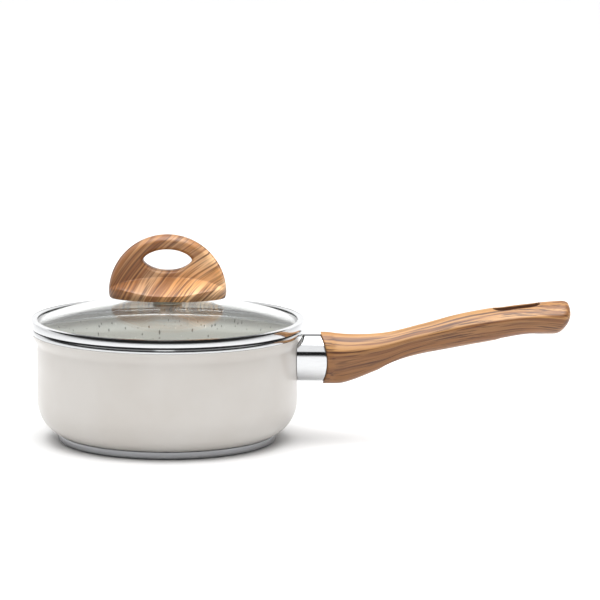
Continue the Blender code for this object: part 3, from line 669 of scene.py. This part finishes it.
def makeHandle():
    # rings from the spigot inside the guard, out over the shoulder and along the grip
    s, g = handleSizes, guardSizes
    count = 160
    unitY, unitZ = handleSection(count)
    rows = []

    def addGuardRow(inset, x):
        y, z = guardOval(inset, 720)
        first = np.argmin(np.abs(z - g["centre"] - s["ridge"] * g["halfHeight"]) - y)
        y, z = evenly(np.roll(np.stack([y, z], 1), -first, axis=0), count).T
        start = wallRadius + s["spigotStart"] if x is None else guardEnd(z) + touch + x
        rows.append(np.stack([start + 0 * y, y, z], 1))

    addGuardRow(g["steel"] + touch, None)
    addGuardRow(g["steel"] + touch, 0)
    for turn in np.radians([0, 25, 50, 75]):
        addGuardRow(s["edge"] * (1 - math.sin(turn)) - s["shoulder"],
                    s["edge"] * (1 - math.cos(turn)))
    shoulderY, shoulderZ = rows[-1][:, 1], rows[-1][:, 2]
    shoulderX = guardEnd(shoulderZ) + touch + s["edge"]
    for share in np.linspace(0, 1, 12)[1:]:  # from the shoulder's section to the grip's
        x = shoulderX + (wallRadius + s["firstRing"] - shoulderX) * share
        centre, half = handleMiddle(x - wallRadius)
        y = unitY * smoothLine(handleLines["halfWidth"], x - wallRadius)
        z = centre + unitZ * half
        ease = smoothStep(0, 1, share)
        y, z = shoulderY + (y - shoulderY) * ease, shoulderZ + (z - shoulderZ) * ease
        rows.append(np.stack([x, y, z], 1))
    grip = np.linspace(s["firstRing"], s["shapedEnd"], 150)[1:]
    endTurn = np.radians(np.linspace(0, 90, 14)[1:])
    along = np.concatenate([grip, s["shapedEnd"] + s["endRound"] * np.sin(endTurn)])
    fall = np.concatenate([0 * grip, 1 - np.cos(endTurn)])
    centre, half = handleMiddle(along)
    width = smoothLine(handleLines["halfWidth"], along) * (1 - s["narrowing"] * fall)
    half = half * (1 - s["thinning"] * fall)
    lean = np.clip((along - s["slotEnd"]) / (s["shapedEnd"] - s["slotEnd"]), 0, 1)[:, None]
    z = centre[:, None] + half[:, None] * unitZ
    x = wallRadius + along[:, None] + lean * (s["endLean"] * unitZ - s["endBow"] * unitZ ** 2)
    y = width[:, None] * unitY
    grid = np.concatenate([np.array(rows), np.stack([x, y, z], -1)])
    handle = skin("grip_handle", grid, sharp=35)
    screwZ = g["centre"] - s["screwDrop"]
    seat = wallRadius + s["headSeat"]
    carve(handle, [
        slotCutter(),
        rodAlongX("screw_way", s["screwBore"], wallRadius, seat + 1 * mm, screwZ),
        rodAlongX("head_way", s["headBore"], seat, wallRadius + s["slotStart"], screwZ),
    ], 35)
    places = pointsOf(handle)
    along = places[:, 0] - wallRadius
    centre, half = handleMiddle(along)
    tip = np.clip((along - s["slotStart"]) / (s["shapedEnd"] - s["slotStart"]), 0, 1.1)
    # low lift also darkens the grip's lower side in its finish, as painted shade
    lift = (places[:, 2] - centre) / half * s["grainHalf"] + s["tipTurn"] * tip ** 2
    storeGrain(handle, places[:, 0], places[:, 1], lift)
    look = {
        "swirlSize": 22 * mm, "swirl": 3.5 * mm, "shift": (0.0, 3.0, 7.0), "through": 0.35,
        "broad": (90 * mm, 7 * mm), "band": (90 * mm, 1.8 * mm), "line": (80 * mm, 0.7 * mm),
        # heartShade: painted shade over the grip's lower side, where lift falls from 5 to 2 mm
        "pore": (14 * mm, 0.45 * mm), "lineDepth": 0.85, "heartShade": (5.0 * mm, 2.0 * mm),
        "heartShadeDepth": 0.6, "light": "#b68752", "mid": "#a7743d", "deep": "#70411a",
        "dark": "#431f08",
    }
    place(handle, "pan", "handle",
          [woodEffect("oliveWoodPhenolicGrip", look), barePhenolicSlotShade])


glassBox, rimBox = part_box("lid_glass"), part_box("lid_rim")
lidSizes = {
    "glass": 3.5 * mm, "domeRadius": 79.0 * mm, "domeRise": 12.5 * mm, "holeRadius": 4.0 * mm,
    "domeEnd": 74 * mm, "domeBlend": 0.4 * mm, "glassEdge": 1.0 * mm,
    "bandSteel": 0.45 * mm, "bandFlange": 4.4 * mm,
    "skirtGap": 0.6 * mm, "crown": 16.0 * mm, "crownTop": 13.0, "crownFoot": -3.0,
    "curl": 1.4 * mm, "curlHeight": 0.65 * mm, "hem": 1.5 * mm,
    "ventOffset": 48.0 * mm, "ventRadius": 2.1 * mm, "ventFlange": 1.4 * mm,
    "ventWall": 0.5 * mm, "ventGap": 0.12 * mm, "ventCrown": 0.65 * mm,
}
glassTop = glassBox[1].z
flangeTop = glassTop - lidSizes["domeRise"]
sphereRadius = (lidSizes["domeRadius"] ** 2 + lidSizes["domeRise"] ** 2) / (
    2 * lidSizes["domeRise"]
)


def sphereHeight(r):
    # height of the dome's sphere over a radius
    return glassTop - sphereRadius + np.sqrt(sphereRadius ** 2 - r ** 2)


def makeGlass():
    # the upper face is the soft maximum of a sphere and a flat edge, and the lower one follows it
    s = lidSizes
    edge = glassBox[1].x
    r = np.concatenate([np.linspace(s["holeRadius"], s["domeEnd"], 60),
                        np.linspace(s["domeEnd"], edge - 0.9 * s["glassEdge"], 26)[1:]])
    sphere = sphereHeight(r)
    gap = np.sqrt((sphere - flangeTop) ** 2 + s["domeBlend"] ** 2)
    upper = 0.5 * (sphere + flangeTop + gap)
    rim = rounded([(r[-1], upper[-1], 0), (edge, flangeTop, s["glassEdge"]),
                   (edge, flangeTop - s["glass"], s["glassEdge"]),
                   (r[-1], upper[-1] - s["glass"], 0)])[1:-1]
    profile = np.vstack([
        np.stack([r, upper], 1), rim, np.stack([r, upper - s["glass"]], 1)[::-1]
    ])
    dome = turned("glass_dome", profile, 224, joined=True, sharp=50)
    hole = turnedCutter("vent_cutter", s["ventRadius"] + touch, -9 * mm, 9 * mm)
    setOnDome(hole)
    carve(dome, [hole], 50)
    place(dome, "lid", "lid_glass", [temperedGlass()])


def setOnDome(piece):
    # moves a piece's mesh from the origin to the vent, square to the glass
    offset = lidSizes["ventOffset"]
    tilt = math.asin(offset / sphereRadius)
    move = Matrix.Translation((0, offset, float(sphereHeight(offset))))
    piece.data.transform(move @ Matrix.Rotation(-tilt, 4, "X"))


def makeRim():
    # a strip of steel rolled round the glass's edge, with a skirt that drops into the mouth
    s = lidSizes
    band, top, skirtFoot = rimBox[1].x, rimBox[1].z, rimBox[0].z
    low = panTop + touch
    steelWall = s["bandSteel"]
    skirt = lipRadius - panSizes["lipWall"] - s["skirtGap"]
    lip = band - s["bandFlange"]
    crownZ = low + s["curlHeight"] - s["crown"] * math.sin(math.radians(s["crownFoot"]))
    crown = arcPoints(band - s["crown"], crownZ, s["crown"], s["crownTop"], s["crownFoot"], 12)
    corners = [(lip, top, 0.15 * mm), (crown[0, 0] - 0.1 * mm, top, 0.08 * mm)]
    corners += [(r, z, 0) for r, z in crown]
    corners += [
        (band - 0.4 * mm, low + 0.2 * mm, 0), (band - s["curl"], low, 0),
        (skirt, low, 0.3 * mm), (skirt, skirtFoot, 0.3 * mm),
        (skirt - s["hem"], skirtFoot, 0.6 * mm),
        (skirt - s["hem"], skirtFoot + s["hem"], 0.7 * mm),
        (skirt - steelWall, skirtFoot + s["hem"], 0.1 * mm),
        (skirt - steelWall, low + steelWall, 0.6 * mm),
        (band - 1.0 * mm, low + steelWall, 0.2 * mm),
        (crown[0, 0] - steelWall, top - steelWall, 0.2 * mm), (lip, top - steelWall, 0.15 * mm),
    ]
    profile = rounded(corners, 8, closed=True)
    # the band's underside over the pan's lip takes the near-black finish: painted shade of the gap
    # between them
    under = (profile[:, 1] < low + s["curlHeight"] + hair) & (profile[:, 1] > low - hair)
    under &= (profile[:, 0] > skirt + 0.5 * mm) & (profile[:, 0] > lip)
    rim = turned("steel_rim", profile, 256, joined=True, sharp=50, zones=under.astype(int))
    place(rim, "lid", "lid_rim", [polishedSteel, gapShadeSteel])


def makeVent():
    # a rolled eyelet: a tube with a rounded flange above the glass and one below it
    s = lidSizes
    tube = s["ventRadius"]
    outer, inner = tube + s["ventFlange"], tube - s["ventWall"]
    tilt = math.asin(s["ventOffset"] / sphereRadius)
    above, below = s["ventGap"], -s["glass"] * math.cos(tilt) - s["ventGap"]
    crown, soft = s["ventCrown"], 0.45 * mm
    corners = [
        (inner, above + crown, 0.35 * mm), (outer, above + crown, soft), (outer, above, 0.1 * mm),
        (tube, above, 0), (tube, below, 0), (outer, below, 0.1 * mm),
        (outer, below - crown, soft), (inner, below - crown, 0.35 * mm),
    ]
    eyelet = turned("vent_grommet", rounded(corners, 6, closed=True), 64, joined=True, sharp=50)
    setOnDome(eyelet)
    place(eyelet, "lid", "vent_eyelet", [polishedSteel])


def makeKnobSeat():
    # gaskets and washer as thin rings with soft edges, round a hole that clears the screw
    for node, soft, finish, slot in (
        ("knob_gasket_upper", 0.3 * mm, siliconeRubber, "silicone"),
        ("knob_gasket_lower", 0.3 * mm, siliconeRubber, "silicone"),
        ("knob_washer", 0.2 * mm, screwSteel, "stainless_steel"),
    ):
        low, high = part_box(node)
        hole = screwSizes["shank"] + touch
        profile = rounded([(hole, high.z, soft), (high.x, high.z, soft), (high.x, low.z, soft),
                           (hole, low.z, soft)], 4, closed=True)
        ring = turned(node.replace("knob_", "seat_"), profile, 96, joined=True)
        place(ring, "lid", node, [finish])


screwSizes = {
    "head": 4.6 * mm, "headHeight": 3.0 * mm, "shank": 2.5 * mm, "point": 0.5 * mm,
    "recess": 2.3 * mm, "recessHalf": 0.5 * mm, "recessDepth": 1.86 * mm, "recessTaper": 0.55,
}


def screwPiece(name, node, body, upwards):
    # a pan head with a cross recess and a plain shank. It is turned about Z at zero, and then
    # set with its seat at its place
    s = screwSizes
    headHeight, shank, point = s["headHeight"], s["shank"], s["point"]
    low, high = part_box(node)
    if upwards:
        seat = Vector((0, 0, low.z + headHeight))
        length = high.z - seat.z
        move = Matrix.Translation(seat)
    else:
        seat = Vector((high.x - headHeight, 0, (low.z + high.z) / 2))
        length = seat.x - low.x
        move = Matrix.Translation(seat) @ Matrix.Rotation(-math.pi / 2, 4, "Y")
    corners = [(axisHole, length, 0), (shank - point, length, 0), (shank, length - point, 0),
               (shank, 0, 0), (s["head"], 0, 0.3 * mm), (s["head"], -headHeight, 1.6 * mm),
               (axisHole, -headHeight, 0)]
    screw = turned(name, rounded(corners), 72, sharp=30)
    cutters = []
    for turn in (0, 1):  # the two arms of the cross
        rows = []
        for z, grow in ((-headHeight - 1 * mm, 1), (s["recessDepth"] - headHeight, s["recessTaper"])):
            x = np.array([-1, 1, 1, -1]) * s["recess"] * grow
            y = np.array([-1, -1, 1, 1]) * s["recessHalf"]
            rows.append(np.stack([y, x, x * 0 + z] if turn else [x, y, x * 0 + z], 1))
        cutters.append(skin(f"{name}_recess_{turn}", np.array(rows)))
    carve(screw, cutters, 30)
    screw.data.transform(move)
    place(screw, body, node, [screwSteel])


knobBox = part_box("knob")
knobSizes = {
    "halfWidth": 36.0 * mm, "halfDepth": 23.5 * mm, "height": 38.6 * mm,
    "edgeHeight": 3.5 * mm, "edgeTuck": 1.2 * mm, "web": 5.4 * mm, "archThickening": 1.6 * mm,
    "crest": 12.9 * mm, "crestSpread": 2.2, "crestFall": 0.6, "archRound": 4.6 * mm,
    "archFrom": 18 * mm, "holeRound": 2.4 * mm,
    "holeWidth": 29.8 * mm, "holeHeight": 13.3 * mm, "holeCentre": 23.1 * mm,
    "insertRadius": 4.7 * mm, "insertDepth": 9.1 * mm,
    "heartX": 62 * mm, "heartDrop": 42 * mm, "ringRadius": 75 * mm,
}


def softMin(a, b, blend):
    # the smaller of two depths, with the change between them rounded over the blend
    return 0.5 * (a + b - np.sqrt((a - b) ** 2 + blend ** 2))


def knobHalfDepth(x, h, fromHole, fromEdge):
    # an oval dome, scooped on both sides to a web that flares to the foot below a crest; the
    # arch's outer edge and the finger hole's edge are rounded over
    s = knobSizes
    across = np.clip(np.abs(x) / s["halfWidth"], 0, 1)
    dome = s["halfDepth"] * np.sqrt(np.clip(1 - across ** 2 - (h / s["height"]) ** 2, 0, 1))
    flare = (s["crest"] - s["edgeHeight"]) * (1 - across ** s["crestSpread"]) ** s["crestFall"]
    crest = s["edgeHeight"] + flare
    below = np.clip((crest - h) / np.maximum(flare, 0.3 * mm), 0, 1)
    rise = np.clip(h / s["archFrom"] - 1, 0, 1)
    web = s["web"] + s["archThickening"] * rise ** 2
    scoop = web + (s["halfDepth"] - web) * below
    roundShare = np.clip(fromEdge / s["archRound"], 0, 1)
    rim = np.sqrt(1 - (1 - roundShare) ** 2)
    rim = rim + (1 - rim) * (1 - smoothStep(2 * mm, 10 * mm, h))
    depth = softMin(scoop * rim, dome, 0.6 * mm)
    f = s["holeRound"]
    near = np.clip(fromHole, 0, f)
    depth = depth - f + np.sqrt(f ** 2 - (f - near) ** 2)
    return np.maximum(depth, 0.12 * mm)


def makeKnob():
    # rings between the finger hole's eye-shaped edge and the arch on its flat foot, on a front
    # sheet and a back sheet that join through the hole
    s = knobSizes
    archCentre = s["height"] - s["halfWidth"]
    footReach = math.sqrt(s["halfWidth"] ** 2 - archCentre ** 2)
    corner = -math.atan2(s["holeCentre"], footReach)
    angle = np.concatenate([
        np.linspace(corner, math.pi - corner, 230, endpoint=False),
        np.linspace(math.pi - corner, math.tau + corner, 96, endpoint=False),
    ])
    dx, dz = np.cos(angle), np.sin(angle)
    offset = s["holeCentre"] - archCentre
    reach = -offset * dz + np.sqrt(s["halfWidth"] ** 2 - (offset * dx) ** 2)
    low = s["holeCentre"] + reach * dz < 0
    reach = np.where(low, -s["holeCentre"] / np.where(low, dz, 1), reach)
    edgeX, edgeH = reach * dx, np.maximum(s["holeCentre"] + reach * dz, 0)
    holeX = s["holeWidth"] / 2 * dx
    holeH = s["holeCentre"] + s["holeHeight"] / 2 * np.sign(dz) * np.abs(dz) ** 1.25
    step = np.linspace(0, 1, 64)
    share = (step - 0.13 * np.sin(math.tau * step))[:, None]
    x, h = holeX + (edgeX - holeX) * share, holeH + (edgeH - holeH) * share
    span = np.hypot(edgeX - holeX, edgeH - holeH)
    fromArch = np.maximum(s["halfWidth"] - np.hypot(x, np.maximum(h - archCentre, 0)), 0)
    depth = knobHalfDepth(x, h, span * share, fromArch)
    tuck = np.clip(1 - h / s["edgeHeight"], 0, 1) ** 1.5 * s["edgeTuck"]
    foot = knobBox[0].z
    front = np.stack([x * (1 - tuck / 2 / s["halfWidth"]), depth * (tuck / s["halfDepth"] - 1),
                      foot + h], -1)
    back = front[::-1] * np.array([1, -1, 1])
    knob = skin("arch_knob", np.concatenate([front, back]), joined=True, sharp=32)
    carve(knob, [turnedCutter("insert_cutter", s["insertRadius"], foot - 5 * mm,
                              foot + s["insertDepth"])], 32)
    # growth lines as rings round a heart beyond the knob's lower right
    places = pointsOf(knob)
    left, up = s["heartX"] - places[:, 0], places[:, 2] - foot + s["heartDrop"]
    storeGrain(knob, np.arctan2(up, left) * s["ringRadius"], places[:, 1], np.hypot(left, up))
    # heartShade darkens the knob towards the left and the top, far from the rings' heart: partly ring
    # tone, partly painted shade on the web
    look = {
        "swirlSize": 20 * mm, "swirl": 4 * mm, "shift": (2.0, 1.0, 4.0), "through": 0.02,
        "broad": (70 * mm, 9 * mm), "band": (80 * mm, 2.8 * mm), "line": (60 * mm, 1.0 * mm),
        "pore": (14 * mm, 0.5 * mm), "lineDepth": 0.75, "heartShade": (70 * mm, 95 * mm),
        "heartShadeDepth": 0.6, "light": "#f2c493", "mid": "#d2965b", "deep": "#7c4a22",
        "dark": "#48230b",
    }
    place(knob, "lid", "knob", [woodEffect("oliveWoodPhenolicKnob", look)])


# the tent's light by direction, in layers that add to it or scale it. A layer is a number times
# its edges, plus a number, and an edge goes from one value to another along an axis
studio = {
    "floorPaint": "#e2e2e2", "floorHalf": 12.0,
    "floorDrop": 0.2 * mm,  # clear of the sole, whose underside is at zero
    "boxPower": 24.0, "boxSize": 1.7, "boxPlace": (0.0, -0.28, 1.55), "boxAim": (0.05, 0, 0.05),
    "tent": [
        ("ADD", 1, 0, [("Y", -0.8, 0.7, 0.35, 1.25)]),  # bright in the rear, dimmer in front
        ("ADD", 1, 0, [("Z", 0.70, 0.95, 0, 1.9)]),  # brightest overhead
        ("ADD", 0.9, 0, [("X", -0.16, -0.10, 0, 1), ("X", 0.10, 0.16, 1, 0),
                         ("Z", 0.24, 0.28, 0, 1), ("Y", -0.2, 0, 1, 0)]),  # front panel
        ("MULTIPLY", -0.95, 1, [("Z", 0.035, 0.060, 0, 1), ("Z", 0.235, 0.275, 1, 0),
                                ("Y", 0.35, 0.75, 1, 0)]),  # a dark gap under the panel
        ("MULTIPLY", -0.65, 1, [("Z", 0.18, 0.26, 0, 1), ("Z", 0.68, 0.80, 1, 0),
                                ("Y", 0.10, 0.45, 0, 1)]),  # a dark part high in the rear
        ("MULTIPLY", 1, 0, [("X", -1, 1, 1.02, 1)]),  # a little brighter on the left
    ],
}


def makeStudio():
    # a pale floor in a white tent, with one soft box on top
    floor = bpy.data.meshes.new("studio_floor")
    half, down = studio["floorHalf"], -studio["floorDrop"]
    floor.from_pydata([(-half, -half, down), (half, -half, down), (half, half, down),
                       (-half, half, down)], [], [(0, 1, 2, 3)])
    paint = bpy.data.materials.new("mattWhitePaint")
    paint.use_nodes = True
    sockets = paint.node_tree.nodes["Principled BSDF"].inputs
    sockets["Roughness"].default_value = 0.9
    sockets["Base Color"].default_value = hexColour(studio["floorPaint"])
    floor.materials.append(paint)
    addObject("studio_floor", floor)

    world = bpy.data.worlds.new("white_tent")
    world.use_nodes = True
    tree = world.node_tree
    way = addNode(tree, "TexCoord").outputs["Generated"]
    axes = addNode(tree, "SeparateXYZ", {"Vector": way}).outputs
    bright = 0
    for operation, scale, plus, edges in studio["tent"]:
        layer = scale
        for axis, start, end, first, last in edges:
            edge = addNode(tree, "MapRange",
                           {"Value": axes[axis], "From Min": start, "From Max": end,
                            "To Min": first, "To Max": last},
                           "Result", interpolation_type="SMOOTHSTEP")
            layer = addNode(tree, "Math", {0: layer, 1: edge}, "Value", operation="MULTIPLY")
        layer = addNode(tree, "Math", {0: layer, 1: plus}, "Value", operation="ADD")
        bright = addNode(tree, "Math", {0: bright, 1: layer}, "Value", operation=operation)
    background = tree.nodes["Background"]
    tree.links.new(bright, background.inputs["Strength"])
    background.inputs["Color"].default_value = (1, 1, 1, 1)
    bpy.context.scene.world = world

    lamp = bpy.data.lights.new("soft_box", "AREA")
    lamp.energy, lamp.size = studio["boxPower"], studio["boxSize"]
    box = addObject("soft_box", lamp)
    box.location = studio["boxPlace"]
    aim = Vector(studio["boxAim"]) - box.location
    box.rotation_euler = aim.to_track_quat("-Z", "Y").to_euler()
    bpy.context.scene.view_settings.view_transform = "Standard"


cameraSet = {
    "place": (0.081, -1.9, 0.384), "lens": 188.6, "sensor": 36.0, "down": 8.9, "roll": 0.39,
}


def makeCamera():
    # a long lens a little above the pan's lip, straight along +Y, with a slight roll
    lens = bpy.data.cameras.new("camera")
    lens.lens, lens.sensor_width = cameraSet["lens"], cameraSet["sensor"]
    camera = addObject("camera", lens)
    tilt = Matrix.Rotation(math.radians(90 - cameraSet["down"]), 4, "X")
    roll = Matrix.Rotation(math.radians(cameraSet["roll"]), 4, "Z")
    camera.matrix_world = Matrix.Translation(cameraSet["place"]) @ tilt @ roll
    bpy.context.scene.camera = camera


makePan()
makeSole()
print("pan made")
makeGuard()
makeHandle()
screwPiece("grip_screw", "handle_screw", "pan", False)
print("handle made")
makeGlass()
makeRim()
makeVent()
makeKnob()
makeKnobSeat()
screwPiece("seat_screw", "knob_screw", "lid", True)
print("lid made")
for nodeName, finish in (("base_core", rolledAluminium), ("handle_boss", rolledAluminium),
                         ("lock_washer", screwSteel), ("knob_insert", turnedBrass)):
    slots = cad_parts[nodeName].data.materials
    slots.clear()
    slots.append(finish)
makeStudio()
makeCamera()
print("studio made")
